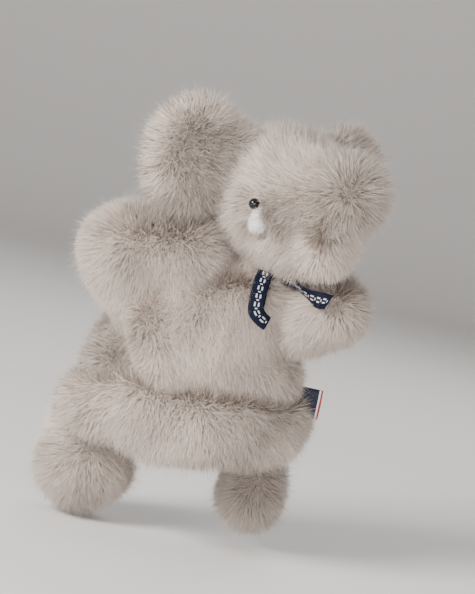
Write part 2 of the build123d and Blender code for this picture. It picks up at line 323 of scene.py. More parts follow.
FUR_ROOT_PAINTED_SHADE = (0.300, 0.246, 0.206)
FUR_MIDDLE = (0.560, 0.472, 0.406)
FUR_TIP = (0.790, 0.700, 0.628)
FUR = fur_material("plush_pile", FUR_ROOT_PAINTED_SHADE, FUR_MIDDLE, FUR_TIP, 0.25)
WHITE_FUR = fur_material("tusk_pile", (0.88, 0.87, 0.87), (0.95, 0.945, 0.945), (0.98, 0.975, 0.975), 0.02)
BACKING = backing_material("plush_backing", (0.32, 0.27, 0.23), (0.46, 0.40, 0.345))
WHITE_BACKING = backing_material("tusk_backing", (0.86, 0.85, 0.84), (0.93, 0.925, 0.92))
LINING = weave_material("lining_cloth", (0.34, 0.31, 0.28), (0.52, 0.48, 0.44), 420.0, 0.55, 0.5)
BEAD = bead_material()
WASHER = weave_material("washer_plastic", (0.74, 0.74, 0.72), (0.80, 0.80, 0.78), 60.0, 0.45, 0.0)
RIBBON = ribbon_material("ribbon_tape", (0.0035, 0.0050, 0.016), (0.44, 0.45, 0.48), 5.4 * MM, 0.17)
KNOT_TAPE = weave_material("knot_tape", (0.003, 0.004, 0.012), (0.006, 0.009, 0.026), 500.0, 0.7, 0.0)


# ---- Building forms ----

def link_mesh(name, mesh, material):
    piece = bpy.data.objects.new(name, mesh)
    bpy.context.scene.collection.objects.link(piece)
    mesh.materials.clear()
    mesh.materials.append(material)
    return piece


def grid_faces(base, row_gaps, count, span):
    """Faces between rows of count points, numbered from base, with span faces in each gap between rows."""
    faces = []
    for r in range(row_gaps):
        for c in range(span):
            a = base + r * count + c
            b = base + r * count + (c + 1) % count
            faces.append((a, b, b + count, a + count))
    return faces


def grid_mesh(name, rows, material, close_round=True, cap_low=False, cap_high=False):
    """A mesh through rows of points, each row a ring or an open line."""
    count = len(rows[0])
    points = [tuple(point) for row in rows for point in row]
    faces = grid_faces(0, len(rows) - 1, count, count if close_round else count - 1)
    if cap_low:
        faces.append(tuple(reversed(range(count))))
    if cap_high:
        faces.append(tuple(range((len(rows) - 1) * count, len(rows) * count)))
    mesh = bpy.data.meshes.new(name)
    mesh.from_pydata(points, [], faces)
    mesh.update()
    return link_mesh(name, mesh, material)


def apply_modifiers(piece):
    depsgraph = bpy.context.evaluated_depsgraph_get()
    mesh = bpy.data.meshes.new_from_object(piece.evaluated_get(depsgraph))
    piece.modifiers.clear()
    piece.data = mesh


def smooth_shaded(piece):
    piece.data.polygons.foreach_set("use_smooth", [True] * len(piece.data.polygons))


def melted(name, balls, material, smooth=6, voxel=VOXEL):
    """One closed form from overlapping ellipsoids: (centre, half sizes, turn about the upright)."""
    points = []
    faces = []
    rows, columns = 14, 24
    for centre, halves, turn in balls:
        base = len(points)
        spin = Matrix.Rotation(turn, 3, "Z")
        for r in range(rows + 1):
            polar = math.pi * r / rows
            for c in range(columns):
                round_angle = 2 * math.pi * c / columns
                unit = Vector((
                    math.sin(polar) * math.cos(round_angle) * halves[0],
                    math.sin(polar) * math.sin(round_angle) * halves[1],
                    -math.cos(polar) * halves[2],
                ))
                points.append(tuple(centre + spin @ unit))
        faces += grid_faces(base, rows, columns, columns)
    mesh = bpy.data.meshes.new(name)
    mesh.from_pydata(points, [], faces)
    mesh.update()
    piece = link_mesh(name, mesh, material)
    melt(piece, smooth, voxel)
    return piece


def melt(piece, smooth, voxel=VOXEL):
    """Remeshes a piece into one even skin and softens it."""
    remesh = piece.modifiers.new("even", "REMESH")
    remesh.mode = "VOXEL"
    remesh.voxel_size = voxel
    soft = piece.modifiers.new("soft", "SMOOTH")
    soft.iterations = smooth
    soft.factor = 0.5
    material = piece.data.materials[0]
    apply_modifiers(piece)
    if not piece.data.materials:
        piece.data.materials.append(material)
    smooth_shaded(piece)


def chain(start, start_r, end, end_r, steps=7):
    """Balls from one point to another, for a lobe or a limb."""
    balls = []
    for step in range(steps):
        share = step / (steps - 1)
        radius = start_r + (end_r - start_r) * share
        balls.append((start.lerp(end, share), (radius, radius, radius), 0.0))
    return balls


def read_rows(collection, field, count):
    values = np.zeros(count * 3, np.float32)
    collection.foreach_get(field, values)
    return values.reshape(-1, 3).astype(float)


def move_points(mesh, places):
    mesh.vertices.foreach_set("co", places.reshape(-1).astype(np.float32))
    mesh.update()


def sculpt(piece, move):
    """Moves every point by what the function gives for the points and their outward directions."""
    mesh = piece.data
    count = len(mesh.vertices)
    points = read_rows(mesh.vertices, "co", count)
    outward = read_rows(mesh.vertices, "normal", count)
    move_points(mesh, points + move(points, outward))


def swirl(points, size, seed):
    """A smooth random direction at each point, from a few crossed waves."""
    total = np.zeros_like(points)
    rng = np.random.default_rng(seed)
    for wave in range(5):
        pitch = rng.normal(size=(3, 3)) / size
        phase = rng.random(3) * 2 * np.pi
        total += np.sin(points @ pitch + phase)
    return total / 2.2


def unevenness(points, size, seed):
    return swirl(points, size, seed)[:, :1]


def lumps(height, size, seed):
    """Soft unevenness of stuffing or cloth."""
    def move(points, outward):
        return outward * height * unevenness(points, size, seed)
    return move


def rise(values, start, end):
    """0 before start, 1 after end, and smooth between."""
    share = np.clip((values - start) / (end - start), 0, 1)
    return share * share * (3 - 2 * share)


def bump(values, width):
    return np.exp(-(values / width) ** 2)


def unit_rows(rows):
    return rows / np.maximum(np.linalg.norm(rows, axis=1, keepdims=True), 1e-9)


def gap_to(points, place):
    return np.linalg.norm(points - np.array(place), axis=1, keepdims=True)


# ---- Pile ----

def sample_skin(piece, rng, density):
    """Root points spread evenly over a skin, with its outward directions."""
    mesh = piece.data
    mesh.calc_loop_triangles()
    corners = np.zeros(len(mesh.loop_triangles) * 3, np.int32)
    mesh.loop_triangles.foreach_get("vertices", corners)
    corners = corners.reshape(-1, 3)
    places = read_rows(mesh.vertices, "co", len(mesh.vertices))
    normals = read_rows(mesh.vertices, "normal", len(mesh.vertices))
    a, b, c = places[corners[:, 0]], places[corners[:, 1]], places[corners[:, 2]]
    areas = 0.5 * np.linalg.norm(np.cross(b - a, c - a), axis=1)
    count = int(areas.sum() * 1e6 * density)
    chosen = rng.choice(len(areas), count, p=areas / areas.sum())
    u = rng.random((count, 1))
    v = rng.random((count, 1))
    over = (u + v) > 1
    u = np.where(over, 1 - u, u)
    v = np.where(over, 1 - v, v)
    w = 1 - u - v
    roots = a[chosen] * w + b[chosen] * u + c[chosen] * v
    out_a, out_b, out_c = (normals[corners[chosen, number]] for number in range(3))
    return roots, unit_rows(out_a * w + out_b * u + out_c * v)


def lock_targets(roots, rng):
    """For each strand, the number of the strand that its lock gathers round."""
    heads = rng.choice(len(roots), max(1, len(roots) // LOCK_STRANDS), replace=False)
    tree = kdtree.KDTree(len(heads))
    for number, head in enumerate(heads):
        tree.insert(roots[head], number)
    tree.balance()
    found = np.fromiter((tree.find(point)[1] for point in roots), int, len(roots))
    return heads[found]


def grow_pile(name, skin, flow, seed, length=PILE_LENGTH, lean=0.5, density=STRANDS_PER_MM2,
              width=STRAND_WIDTH, clump=0.20, material=None, keep=None, droop=0.14, wild=0.15, dim=None):
    """Covers a skin with flat tapering strands. flow gives the way the pile is brushed; keep gives
    a share of the full length at each root, and dim how much darker the pile is painted there as painted
    shade, 0 to 1."""
    rng = np.random.default_rng(seed)
    roots, outward = sample_skin(skin, rng, density)
    count = len(roots)
    combing = flow(roots, outward) + swirl(roots, 0.018, seed) * 0.22 + swirl(roots, 0.006, seed + 1) * 0.16
    combing = tangent(combing, outward)
    guard = rng.random((count, 1)) < GUARD_SHARE
    jitter = rng.normal(size=(count, 3)) * wild
    start = unit_rows(outward + combing * lean * 0.5 + jitter * 0.6)
    finish = unit_rows(outward * (1 - 0.55 * lean) + combing * lean + jitter * 1.5 - np.array(UP) * droop)
    sizes = length * (0.80 + 0.28 * rng.random((count, 1)) + 0.07 * unevenness(roots, 0.008, seed + 2))
    sizes = np.where(guard, sizes * GUARD_LENGTH, sizes)
    if keep is not None:
        sizes = sizes * keep(roots)
    lines = []
    for level in STRAND_LEVELS:
        bend = 0.5 * level ** 2
        lines.append(roots + sizes * (start * (level - bend) + finish * bend))
    gathers = lock_targets(roots, rng)
    pull = np.where(guard, 0.0, clump * (0.6 + 0.8 * rng.random((count, 1))))
    for number, level in enumerate(STRAND_LEVELS):
        offset = lines[number][gathers] - lines[number]
        lines[number] = lines[number] + offset * pull * level ** 1.5
    widths = width * (0.75 + 0.5 * rng.random((count, 1))) * np.where(guard, 0.6, 1.0)
    shared = 0.5 + 0.5 * np.clip(unevenness(roots, 0.011, seed + 5)[:, 0], -1, 1)
    tone = 0.6 * rng.random(count) + 0.4 * shared
    # Painted shade: the strands' tone is darkened where dim asks for it.
    if dim is not None:
        tone = tone * (1 - dim(roots)[:, 0])
    return build_strands(name, outward, lines, widths, tone, rng, material or FUR)


def build_strands(name, outward, lines, widths, tone, rng, material):
    """Turns the strands' lines into flat tapering blades, wide sides facing out."""
    count = len(outward)
    along = unit_rows(lines[-1] - lines[0])
    across = unit_rows(np.cross(along, outward) + rng.normal(size=(count, 3)) * 0.25)
    across = unit_rows(across - along * np.sum(across * along, axis=1, keepdims=True))
    corners = []
    for line, level in zip(lines[:-1], STRAND_LEVELS):
        half = across * widths * (0.5 - 0.06 * level)
        corners += [line - half, line + half]
    corners.append(lines[-1])
    per = len(corners)
    points = np.stack(corners, axis=1).reshape(-1, 3)
    base = np.arange(count) * per
    quads = np.array([(low, low + 1, low + 3, low + 2) for low in range(0, per - 3, 2)])
    quad_rows = (base[:, None, None] + quads[None]).reshape(-1, 4)
    tip_rows = base[:, None] + np.array([per - 3, per - 2, per - 1])[None]
    loops = np.concatenate([quad_rows.reshape(-1), tip_rows.reshape(-1)]).astype(np.int32)
    sizes = np.concatenate([np.full(len(quad_rows), 4), np.full(len(tip_rows), 3)])
    starts = np.concatenate([[0], np.cumsum(sizes)[:-1]]).astype(np.int32)
    mesh = bpy.data.meshes.new(name)
    mesh.vertices.add(len(points))
    mesh.vertices.foreach_set("co", points.reshape(-1).astype(np.float32))
    mesh.loops.add(len(loops))
    mesh.loops.foreach_set("vertex_index", loops)
    mesh.polygons.add(len(starts))
    mesh.polygons.foreach_set("loop_start", starts)
    mesh.update(calc_edges=True)
    mesh.polygons.foreach_set("use_smooth", np.ones(len(starts), bool))

    tone = 0.03 + 0.94 * np.clip(tone, 0, 1)
    step = 0.012
    heights = [level for level in STRAND_LEVELS[:-1] for edge in (0, 1)] + [STRAND_LEVELS[-1]]
    edges = [-step, step] * (len(STRAND_LEVELS) - 1) + [0.0]
    u = tone[:, None] + np.array(edges)[None]
    v = np.tile(np.array(heights), (count, 1))
    palette = np.stack([u, v], axis=2).reshape(-1, 2)
    layer = mesh.uv_layers.new(name="OFBake")
    layer.data.foreach_set("uv", palette[loops].reshape(-1).astype(np.float32))

    blade = unit_rows(np.cross(across, along))
    blade = blade * np.where(np.sum(blade * outward, axis=1, keepdims=True) < 0, -1.0, 1.0)
    shade = unit_rows(outward * 0.7 + blade * 0.3 + rng.normal(size=(count, 3)) * 0.08)
    mesh.normals_split_custom_set_from_vertices(np.repeat(shade, per, axis=0).tolist())
    return link_mesh(name, mesh, material)


def tangent(way, outward):
    return way - outward * np.sum(way * outward, axis=1, keepdims=True)


def brushed(course=(0, 0, 0), poles=()):
    """Pile brushed along one course, and away from poles: (place, reach, strength)."""
    def flow(roots, outward):
        way = np.tile(np.array(course, float), (len(roots), 1))
        for place, reach, strength in poles:
            away = roots - np.array(place)
            near = 1 - np.exp(-(gap_to(roots, place) / reach) ** 2)
            way = way + unit_rows(tangent(away, outward)) * near * strength
        return tangent(way, outward)
    return flow


def sewn_nodes(part):
    """The CAD nodes of a stuffed part: its two panels and its filling."""
    return tuple(part + end for end in ("_front", "_back", "_filling"))


def finish_piece(piece, body, replaced=()):
    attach(piece, body)
    if replaced:
        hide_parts(*replaced)


# ---- Body glove, lining and cuff ----

# The glove's backing, in mm: height, middle x, middle y, half width, half depth
GLOVE = [
    (-4.0, -2.5, 0.0, 64.0, 34.5),
    (8.0, -3.0, 0.0, 65.5, 35.5),
    (35.0, -3.0, 0.0, 66.0, 36.0),
    (54.0, -2.5, -1.0, 62.5, 35.0),
    (72.0, 0.5, -2.0, 53.0, 33.0),
    (86.0, 8.0, -3.0, 46.0, 31.5),
    (97.0, 14.0, -4.0, 42.0, 30.0),
    (105.0, 20.0, -4.5, 36.0, 27.0),
    (110.0, 26.0, -5.0, 25.5, 21.5),
    (114.0, 29.5, -5.0, 17.8, 17.4),
    (121.0, 30.0, -5.0, 17.4, 17.2),
    (134.0, 30.0, -5.0, 15.0, 15.0),
]
LINING_DEPTH = 2.5               # the lining lies this far inside the backing
HEM_TOP = 35.0                   # the fabric below this height follows the slanting hem
CUFF_WIDE = 67.5                 # half width and half depth at the middle of the roll, in mm
CUFF_DEEP = 42.5
CUFF_SHIFT = -0.5
CUFF_HALF_THICK = 6.0
HEM_LIFT = 10.0                  # the forearm holds the roll up in front: by how much,
HEM_LIFT_AT = 245.0              # where round the glove, in degrees from the puppet's left,
HEM_LIFT_SPREAD = 58.0           # and over what part of it
COLUMNS = 120
# Ends of the fold beside the hand, and of the crease below the left arm: x and z
HAND_FOLD = ((-0.058, 0.086), (-0.030, 0.034))
ARM_CREASE = ((0.066, 0.078), (0.030, 0.056))
SLACK_FLAP = (-0.062, 0.048)     # middle of the slack fabric beyond the fold: x and z
PALM = (0.004, 0.066)            # middle of the palm's bulge: x and z
# How far, in mm, the glove's fabric is moved out or in by each feature
PALM_RISE = 5.0
RIDGE_RISE = 9.0                 # beside the fold, on the hand's side
HOLLOW_DEPTH = 18.0              # the fold itself, and the hollow beyond it
CREASE_DEPTH = 2.6
GROOVE_DEPTH = 4.0               # above the roll


def hem_height(angle):
    """Height of the roll's middle: higher at the puppet's left, and hanging lower in front."""
    front = max(0.0, -math.sin(angle))
    back = max(0.0, math.sin(angle))
    ripple = 0.9 * math.sin(5 * angle + 0.6) + 0.6 * math.sin(9 * angle + 2.0)
    lifted = math.exp(-((math.degrees(angle) - HEM_LIFT_AT) / HEM_LIFT_SPREAD) ** 2)
    return 18.0 + 7.5 * math.cos(angle) - 9.5 * front - 5.0 * back + HEM_LIFT * lifted + ripple


def roll_half_height(angle):
    """The roll is tallest in front and narrows at the side seams."""
    return 10.0 + 8.0 * max(0.0, -math.sin(angle)) + 4.0 * max(0.0, math.sin(angle))


def glove_ring(height, x, y, wide, deep, depth=0.0):
    points = []
    for step in range(COLUMNS):
        angle = 2 * math.pi * step / COLUMNS
        follow = max(0.0, 1 - max(0.0, height) / HEM_TOP)
        z = height + (hem_height(angle) - 7.0) * follow
        out_x = x + (wide - depth) * math.cos(angle)
        out_y = y + (deep - depth) * math.sin(angle)
        points.append(Vector((out_x, out_y, z)) * MM)
    return points


def segment_gap(points, ends):
    """How far each point is from a line in the front view, and on which side of it."""
    start, end = np.array(ends[0]), np.array(ends[1])
    flat = points[:, [0, 2]]
    along = end - start
    share = np.clip((flat - start) @ along / (along @ along), 0, 1)[:, None]
    off = flat - (start + along * share)
    side = np.sign(off[:, :1] * -along[1] + off[:, 1:] * along[0])
    return np.linalg.norm(off, axis=1, keepdims=True), side


def above_roll(points):
    """How far each point is above the top of the rolled hem, in metres."""
    angles = [2 * math.pi * step / COLUMNS for step in range(COLUMNS + 1)]
    tops = [hem_height(angle) + roll_half_height(angle) for angle in angles]
    place = np.arctan2(points[:, 1:2] * CUFF_WIDE / CUFF_DEEP, points[:, :1]) % (2 * math.pi)
    return points[:, 2:] - np.interp(place, angles, tops) * MM


def glove_relief(points, outward):
    """The hand's bulge in front, the deep fold beside it, and the slack flap beyond the fold."""
    x, y, z = points[:, :1], points[:, 1:2], points[:, 2:]
    front = 1 - 0.75 * rise(y, -0.004, 0.012)
    facing = np.clip(-outward[:, 1:2] * 1.3, 0, 1)
    height = rise(z, 0.020, 0.036) * (1 - rise(z, 0.084, 0.098))
    gap, side = segment_gap(points, HAND_FOLD)
    palm = bump(x - PALM[0], 0.044) * bump(z - PALM[1], 0.036)
    ridge = np.where(side > 0, bump(gap - 0.014, 0.011), 0.0)
    hollow = np.where(side < 0, bump(gap - 0.009, 0.014), bump(gap, 0.0055))
    crease = segment_gap(points, ARM_CREASE)[0]
    move = palm * PALM_RISE * MM * front
    move = move + ridge * RIDGE_RISE * MM * front * height
    move = move - hollow * HOLLOW_DEPTH * MM * facing * height
    move = move - bump(crease, 0.007) * CREASE_DEPTH * MM * front
    move = move - bump(above_roll(points) - 0.003, 0.006) * GROOVE_DEPTH * MM
    return outward * (move + 1.5 * MM * unevenness(points, 0.022, 4))


def glove_shell(name, depth, material):
    rows = [glove_ring(*row, depth=depth) for row in GLOVE]
    skin = grid_mesh(name, rows, material)
    refine = skin.modifiers.new("fine", "SUBSURF")
    refine.levels = 2
    apply_modifiers(skin)
    sculpt(skin, glove_relief)
    smooth_shaded(skin)
    return skin


def pile_in_folds(points):
    """The pile is pressed short down in the fold beside the hand and above the roll."""
    gap = segment_gap(points, HAND_FOLD)[0]
    front = 1 - rise(points[:, 1:2], -0.008, 0.004)
    flap = bump(gap_to(points[:, [0, 2]], SLACK_FLAP), 0.020)
    pressed = 0.45 * bump(gap, 0.007) * front + 0.20 * flap * front
    return 1 - pressed - 0.35 * bump(above_roll(points) - 0.002, 0.006)


def painted_shade_in_hollows(points):
    """Painted shade on the pile: darker in the recessed slack flap and in the dip above the roll, where
    shade falls.
    """
    front = 1 - rise(points[:, 1:2], -0.008, 0.004)
    flap = bump(gap_to(points[:, [0, 2]], SLACK_FLAP), 0.022) * front
    return np.clip(0.95 * flap + 0.55 * bump(above_roll(points) - 0.004, 0.006), 0, 1)


def glove_flow(roots, outward):
    """Brushed down, but standing on end where the fabric hangs slack beside the fold."""
    combed = brushed((0.12, 0, -1.0))(roots, outward)
    flap = bump(gap_to(roots[:, [0, 2]], SLACK_FLAP), 0.020) * (roots[:, 1:2] < 0)
    return combed * (1 - 0.95 * flap)


def make_glove():
    skin = glove_shell("glove_skin", 0.0, BACKING)
    finish_piece(skin, "glove", ("body_front", "body_back"))
    pile_in_parts("glove_pile", skin, glove_flow, 11, "glove", (FRONT_BACK, LEFT_RIGHT),
                  lean=0.66, droop=0.08, keep=pile_in_folds, dim=painted_shade_in_hollows)
    lining = glove_shell("glove_lining", LINING_DEPTH, LINING)
    thick = lining.modifiers.new("cloth", "SOLIDIFY")
    thick.thickness = 0.7 * MM
    apply_modifiers(lining)
    smooth_shaded(lining)
    finish_piece(lining, "glove", ("body_lining_front", "body_lining_back"))


def pile_in_parts(name, skin, flow, seed, body, ways, **pile):
    """Grows the pile of a large skin in parts: the skin is parted across its middle in each of the ways."""
    signs = [()]
    for _ in ways:
        signs = [chosen + (sign,) for chosen in signs for sign in (1, -1)]
    for number, chosen in enumerate(signs):
        words = [way[1 if sign > 0 else 2] for way, sign in zip(ways, chosen)]
        part = part_of(skin, [way[0] * sign for way, sign in zip(ways, chosen)])
        grown = grow_pile("_".join([name] + words), part, flow, seed + number, **pile)
        bpy.data.objects.remove(part)
        finish_piece(grown, body)


def part_of(skin, directions):
    """A copy of the faces of a skin on the side of its middle that each direction points to."""
    mesh = skin.data
    points = [vertex.co for vertex in mesh.vertices]
    centre = sum(points, Vector()) / len(points)
    keep = []
    for face in mesh.polygons:
        off = face.center - centre
        if all(off.dot(direction) > 0 for direction in directions):
            keep.append(tuple(face.vertices))
    part = bpy.data.meshes.new("part")
    part.from_pydata([tuple(point) for point in points], [], keep)
    part.update()
    return link_mesh("part", part, BACKING)


FRONT_BACK = (Vector((0, -1, 0)), "front", "back")
LEFT_RIGHT = (Vector((1, 0, 0)), "left", "right")


def cuff_point(angle, turn):
    """A point on the roll: angle round the glove, turn round the roll's own section."""
    tall = roll_half_height(angle)
    swell = 1.0 + 0.12 * math.sin(angle * 4 + 1.0) + 0.08 * math.sin(angle * 7)
    out = CUFF_HALF_THICK * swell * math.cos(turn)
    x = CUFF_SHIFT + (CUFF_WIDE + out) * math.cos(angle)
    y = (CUFF_DEEP + out) * math.sin(angle)
    return Vector((x, y, hem_height(angle) + tall * math.sin(turn))) * MM


def make_cuff():
    turns = 20
    rows = [[cuff_point(2 * math.pi * step / COLUMNS, 2 * math.pi * row / turns) for step in range(COLUMNS)]
            for row in range(turns)]
    rows.append(rows[0])
    skin = grid_mesh("cuff_skin", rows, BACKING)
    join = skin.modifiers.new("join", "WELD")
    join.merge_threshold = 0.01 * MM
    apply_modifiers(skin)
    sculpt(skin, lumps(1.3 * MM, 0.016, 3))
    if inside_out(skin):
        skin.data.flip_normals()
    smooth_shaded(skin)
    finish_piece(skin, "glove", ("cuff_front", "cuff_back"))
    combed = brushed((0.05, 0, -0.8))
    pile_in_parts("cuff_pile", skin, combed, 31, "glove", (FRONT_BACK,), lean=0.55, droop=0.16)


def inside_out(piece):
    """True if a closed mesh's faces look inwards."""
    mesh = piece.data
    mesh.calc_loop_triangles()
    volume = 0.0
    for triangle in mesh.loop_triangles:
        a, b, c = (mesh.vertices[number].co for number in triangle.vertices)
        volume += a.dot(b.cross(c))
    return volume < 0


# ---- Head ----

def eye_place(side):
    """Where the bead shows: the outer end of the eye node."""
    points = [vertex.co - HEAD for vertex in frame["nodes"]["eye_" + side].data.vertices]
    reach = max(point.length for point in points)
    outer = [point for point in points if point.length > reach - 2.0 * MM]
    return HEAD + sum(outer, Vector()) / len(outer)


def middle(node):
    low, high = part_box(node)
    return (low + high) / 2


EYES = {side: eye_place(side) for side in SIDES}
TUSKS = {side: middle("tusk_" + side) for side in SIDES}


# Pile near a part of the face: short inside one radius, full beyond another, both in mm, and the
# share of its length that is left in the middle
ROUND_EYE = (4.2, 9.5, 0.10)
ROUND_TUSK = (5.4, 10.0, 0.20)


def around_face(points):
    """Shortens the pile round the eyes and tusks, so that they lie open."""
    share = np.ones((len(points), 1))
    for side in SIDES:
        inward = (HEAD - EYES[side]).normalized() * SKIN_DEPTH
        for place, (bare, full, least) in ((EYES[side], ROUND_EYE), (TUSKS[side], ROUND_TUSK)):
            grown = rise(gap_to(points, place + inward), bare * MM, full * MM)
            share = np.minimum(share, least + (1 - least) * grown)
    return share


def head_flow():
    """Brushed back from the face, with the pile parted round each eye and tusk."""
    face = HEAD + AHEAD * HEAD_R * 0.8
    combed = brushed((0, 0, -0.15), [(face, 0.030, 0.8)])

    def flow(roots, outward):
        way = combed(roots, outward)
        for side in SIDES:
            for place in (EYES[side], TUSKS[side]):
                away = unit_rows(tangent(roots - np.array(place), outward))
                way = way + away * 1.8 * bump(gap_to(roots, place), 0.013)
        return way
    return flow


def make_head():
    skin_r = HEAD_R - SKIN_DEPTH
    chin_r = CHIN_R - SKIN_DEPTH
    balls = [(HEAD, (skin_r, skin_r, skin_r * 0.98), 0.0)]
    balls += chain(HEAD + AHEAD * 0.010, skin_r * 0.92, TRUNK_ROOT, TRUNK_ROOT_R - SKIN_DEPTH)
    balls += chain(HEAD + AHEAD * 0.010 - UP * 0.010, skin_r * 0.78, CHIN, chin_r)
    skin = melted("head_skin", balls, BACKING, smooth=8)

    def shape(points, outward):
        off = np.abs((points - np.array(HEAD)) @ np.array(SIDEWAYS))[:, None]
        seams = bump(off - 0.016, 0.0018) * 0.9 * MM
        return outward * (1.2 * MM * unevenness(points, 0.022, 5) - seams)

    sculpt(skin, shape)
    nodes = ("head_side_left", "head_side_right", "head_gusset", "chin_gusset", "head_filling")
    finish_piece(skin, "head", nodes)
    halves = ((SIDEWAYS, "left", "right"),)
    pile_in_parts("head_pile", skin, head_flow(), 51, "head", halves, keep=around_face, lean=0.42)


def make_trunk():
    """The trunk reaches forward from the face, bends down, and its end is gathered under the bend."""
    root_r = TRUNK_ROOT_R - SKIN_DEPTH
    bend_r = TRUNK_BEND_R - SKIN_DEPTH
    end_r = TRUNK_END_R - SKIN_DEPTH
    balls = chain(TRUNK_ROOT, root_r, TRUNK_BEND, bend_r)
    balls += chain(TRUNK_BEND, bend_r * 0.95, TRUNK_END, end_r)
    skin = melted("trunk_skin", balls, BACKING, smooth=5)
    gather = TRUNK_END + Vector((-0.45, -0.85, 0.12)).normalized() * end_r

    def shape(points, outward):
        dimple = bump(gap_to(points, gather), 0.0065) * 5.0 * MM
        return outward * (1.2 * MM * unevenness(points, 0.018, 9) - dimple)

    sculpt(skin, shape)
    nodes = ("trunk_upper", "trunk_lower", "trunk_filling")
    finish_piece(skin, "trunk", nodes)
    whorl = TRUNK_BEND + Vector((-0.45, -1.0, 0.1)).normalized() * bend_r
    combed = brushed((0, 0, -0.15), [(whorl, 0.026, 0.7)])

    def flow(roots, outward):
        away = unit_rows(tangent(roots - np.array(gather), outward))
        return combed(roots, outward) + away * 1.6 * bump(gap_to(roots, gather), 0.020)

    pile = grow_pile("trunk_pile", skin, flow, 61, lean=0.40)
    finish_piece(pile, "trunk")


def make_ear(side, seed):
    centre, out, facing = ear_frame(side)
    turn = math.atan2(facing.y, facing.x)
    thick = EAR_HALF_THICK - SKIN_DEPTH * 0.75
    wide = EAR_HALF_WIDTH - SKIN_DEPTH * 0.8
    tall = EAR_HALF_HEIGHT - SKIN_DEPTH * 0.8
    root = centre - out * 0.020
    balls = [(centre, (thick, wide, tall), turn), (root, (thick * 0.9, wide * 0.75, tall * 0.72), turn)]
    skin = melted("ear_" + side + "_skin", balls, BACKING, smooth=4, voxel=1.8 * MM)
    plump(skin, 2.5 * MM)

    def cup(points, outward):
        off = points - np.array(centre)
        reach = (off @ np.array(out)) ** 2 / wide ** 2 + off[:, 2] ** 2 / tall ** 2
        bend = np.array(facing)[None] * (2.5 * MM * (reach[:, None] - 0.6))
        return bend + outward * 0.8 * MM * unevenness(points, 0.016, seed)

    sculpt(skin, cup)
    finish_piece(skin, "ear_" + side, sewn_nodes("ear_" + side))
    flow = brushed((0, 0, -0.2), [(centre - out * 0.012 - UP * 0.006, 0.022, 0.8)])
    pile = grow_pile("ear_" + side + "_pile", skin, flow, seed, lean=0.5)
    finish_piece(pile, "ear_" + side)


PLUMP_FRAMES = 20


def plump(piece, cap):
    """Blows a stuffed skin up from inside with a short cloth simulation, no further than the cap."""
    mesh = piece.data
    before = read_rows(mesh.vertices, "co", len(mesh.vertices))
    cloth = piece.modifiers.new("stuffing", "CLOTH")
    settings = cloth.settings
    settings.use_pressure = True
    settings.uniform_pressure_force = 4.0
    settings.tension_stiffness = 12.0
    settings.compression_stiffness = 12.0
    settings.bending_stiffness = 0.6
    settings.effector_weights.gravity = 0.0
    cloth.point_cache.frame_start = 1
    cloth.point_cache.frame_end = PLUMP_FRAMES
    scene = bpy.context.scene
    for number in range(1, PLUMP_FRAMES + 1):
        scene.frame_set(number)
    apply_modifiers(piece)
    scene.frame_set(1)
    mesh = piece.data
    after = read_rows(mesh.vertices, "co", len(mesh.vertices))
    step = after - before
    reach = np.linalg.norm(step, axis=1, keepdims=True)
    held = before + step * np.minimum(1.0, cap / np.maximum(reach, 1e-9))
    move_points(mesh, held)
    smooth_shaded(piece)


def make_eyes():
    for side in SIDES:
        paint("eye_" + side, BEAD)
        paint("eye_washer_" + side, WASHER)


def paint(node, material):
    """Gives a CAD node that stays in sight its material."""
    mesh = frame["nodes"][node].data
    if not mesh.materials:
        mesh.materials.append(material)
    for number in range(len(mesh.materials)):
        mesh.materials[number] = material


def make_tusk(side, seed):
    out = (TUSKS[side] - HEAD).normalized()
    outer = TUSKS[side] + out * (1.5 * MM)
    low = outer - UP * (0.2 * MM)
    high = outer + UP * (4.8 * MM) - out * (1.0 * MM)
    balls = chain(low, 4.0 * MM, high, 3.3 * MM, 4)
    skin = melted("tusk_" + side + "_skin", balls, WHITE_BACKING, 3, 0.6 * MM)
    finish_piece(skin, "head", ("tusk_" + side,))
    pile = grow_pile("tusk_" + side + "_pile", skin, brushed((0, 0, -1)), seed, length=3.4 * MM,
                     density=11.0, width=0.22 * MM, clump=0.2, material=WHITE_FUR, lean=0.6)
    finish_piece(pile, "head")


# ---- Arms and feet ----

def make_arm(side, seed):
    shoulder, paw = SHOULDERS[side], PAWS[side]
    start_r, end_r = ARM_RADII[side]
    balls = chain(shoulder, start_r - SKIN_DEPTH, paw, end_r - SKIN_DEPTH)
    for bridge in CHEST_BRIDGES[side]:
        for (start, start_ball), (end, end_ball) in zip(bridge, bridge[1:]):
            balls += chain(start, start_ball * MM, end, end_ball * MM, 5)
    skin = melted("arm_" + side + "_skin", balls, BACKING, smooth=5)
    plump(skin, 1.5 * MM)
    sculpt(skin, lumps(1.6 * MM, 0.022, seed))
    finish_piece(skin, "arm_" + side, sewn_nodes("arm_" + side))
    whorl = paw + Vector((0.1, -1.0, 0.35)).normalized() * (end_r - SKIN_DEPTH)
    flow = brushed((0, 0, -0.55), [(whorl, 0.030, 0.6)])
    pile_in_parts("arm_" + side + "_pile", skin, flow, seed, "arm_" + side, (FRONT_BACK,), lean=0.5)


def make_foot(side, seed):
    centre = FEET[side]
    ball_r = FOOT_RADII[side] - SKIN_DEPTH
    balls = chain(centre, ball_r, centre + UP * 0.016, ball_r * 0.8, 4)
    skin = melted("foot_" + side + "_skin", balls, BACKING, smooth=5)
    plump(skin, 1.5 * MM)
    sculpt(skin, lumps(1.4 * MM, 0.02, seed))
    finish_piece(skin, "foot_" + side, sewn_nodes("foot_" + side))
    flow = brushed((0, 0, -0.5), [(centre + Vector((0, -1, 0.3)) * ball_r, 0.025, 0.5)])
    pile = grow_pile("foot_" + side + "_pile", skin, flow, seed, lean=0.5)
    finish_piece(pile, "foot_" + side)


# ---- Ribbon, label and lining ----

